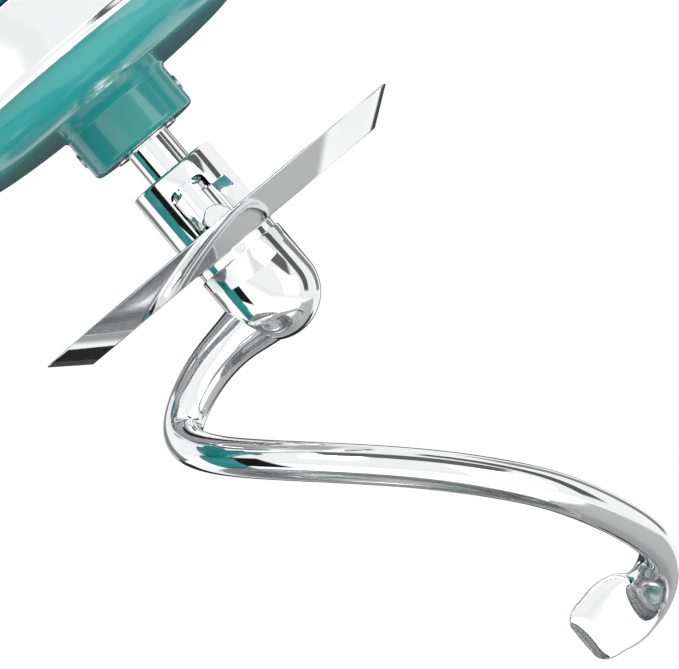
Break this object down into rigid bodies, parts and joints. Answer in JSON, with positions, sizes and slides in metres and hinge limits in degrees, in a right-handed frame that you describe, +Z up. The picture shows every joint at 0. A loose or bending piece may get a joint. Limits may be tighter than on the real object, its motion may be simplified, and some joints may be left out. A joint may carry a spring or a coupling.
{
  "type": "stand mixer",
  "caption": "Tilt-head stand mixer, head raised, with a planetary drive, a polished spiral dough hook with a deflector, and a locking steel bowl.",
  "frame": {"origin": "on the worktop, under the middle of the mixer's box with the head raised", "axes": "+X towards the nose and the bowl's handle, +Z up, +Y away from the dial and the lock lever"},
  "size_m": [0.4466, 0.2316, 0.4968],
  "materials": {
    "teal_paint": "gloss",
    "chrome": "polished",
    "bowl_steel": "satin",
    "steel": "machined",
    "dark_plastic": "fine grain",
    "pale_plastic": "smooth",
    "rubber": "matt",
    "bronze": "sintered",
    "copper": "enamelled wire",
    "cast_alloy": "as cast",
    "lamination": "stacked",
    "board": "matt"
  },
  "bodies": {
    "base": {"base_housing": "teal_paint", "base_plate": "steel", "rubber_feet": "rubber", "base_screws": "steel", "column_shell": "teal_paint", "column_cover": "teal_paint", "column_screws": "steel", "bowl_clamp_plate": "bowl_steel", "clamp_screws": "steel", "hinge_pin": "steel", "hinge_caps": "chrome", "cord_gland": "rubber"},
    "lock": {"lock_bolt": "steel", "lock_lever": "dark_plastic"},
    "head": {"head_lower_shell": "teal_paint", "head_upper_shell": "teal_paint", "trim_band": "chrome", "nose_cap": "chrome", "shell_screws": "steel", "hinge_bushes": "bronze", "drip_ring": "chrome", "ring_gear": "steel", "gearbox_plate": "cast_alloy", "main_bearings": "steel", "layshaft_bearings": "bronze", "stator_core": "lamination", "field_coils": "copper", "motor_frame": "cast_alloy", "motor_bearings": "steel", "brush_holders": "bronze", "carbon_brushes": "dark_plastic", "drive_belt": "rubber", "speed_switch": "pale_plastic", "control_board": "board"},
    "dial": {"speed_dial": "pale_plastic"},
    "rotor": {"armature_core": "lamination", "commutator": "copper", "motor_shaft": "steel", "motor_pulley": "steel", "cooling_fan": "dark_plastic"},
    "layshaft": {"layshaft": "steel", "layshaft_pulley": "cast_alloy"},
    "carrier": {"main_gear": "steel", "main_shaft": "steel", "planet_carrier": "teal_paint", "boss_pins": "steel", "boss_bushes": "bronze"},
    "beater_drive": {"beater_shaft": "chrome", "planet_pinion": "steel", "cross_pin": "chrome", "thrust_washer": "chrome"},
    "dough_hook": {"hook_collar": "chrome", "hook_deflector": "chrome", "hook_arm": "chrome"},
    "bowl": {"bowl_shell": "bowl_steel", "bowl_foot": "bowl_steel", "bowl_handle": "bowl_steel"}
  },
  "joints": [
    {"name": "head_tilt", "type": "hinge", "parent": "base", "child": "head", "pos_m": [-0.124, 0, 0.274], "axis": [0, 1, 0], "range_deg": [0, 40]},
    {"name": "lock_turn", "type": "hinge", "parent": "base", "child": "lock", "pos_m": [-0.1, -0.043, 0.222], "axis": [0, -1, 0], "range_deg": [0, 60]},
    {"name": "dial_turn", "type": "hinge", "parent": "head", "child": "dial", "pos_m": [-0.07647, -0.06, 0.37915], "axis": [0, -1, 0], "range_deg": [0, 270]},
    {"name": "carrier_spin", "type": "hinge", "parent": "head", "child": "carrier", "pos_m": [0.02155, 0, 0.39613], "axis": [-0.6428, 0, 0.766], "continuous": true},
    {"name": "beater_spin", "type": "hinge", "parent": "carrier", "child": "beater_drive", "pos_m": [0.02155, 0.022, 0.39613], "axis": [-0.6428, 0, 0.766], "continuous": true},
    {"name": "layshaft_spin", "type": "hinge", "parent": "head", "child": "layshaft", "pos_m": [-0.01063, 0, 0.36913], "axis": [-0.6428, 0, 0.766], "continuous": true},
    {"name": "motor_spin", "type": "hinge", "parent": "head", "child": "rotor", "pos_m": [-0.07651, 0, 0.31385], "axis": [-0.6428, 0, 0.766], "continuous": true},
    {"name": "hook_seat", "type": "slide", "parent": "beater_drive", "child": "dough_hook", "axis": [0.6428, 0, -0.766], "range_m": [0, 0.008]},
    {"name": "bowl_twist", "type": "hinge", "parent": "base", "child": "bowl", "pos_m": [0.066, 0, 0.04], "axis": [0, 0, 1], "range_deg": [0, 25]}
  ],
  "couplings": [
    {"joint": "beater_spin", "follows": "carrier_spin", "ratio": -2.8333},
    {"joint": "layshaft_spin", "follows": "carrier_spin", "ratio": -6},
    {"joint": "motor_spin", "follows": "carrier_spin", "ratio": -28.5}
  ]
}
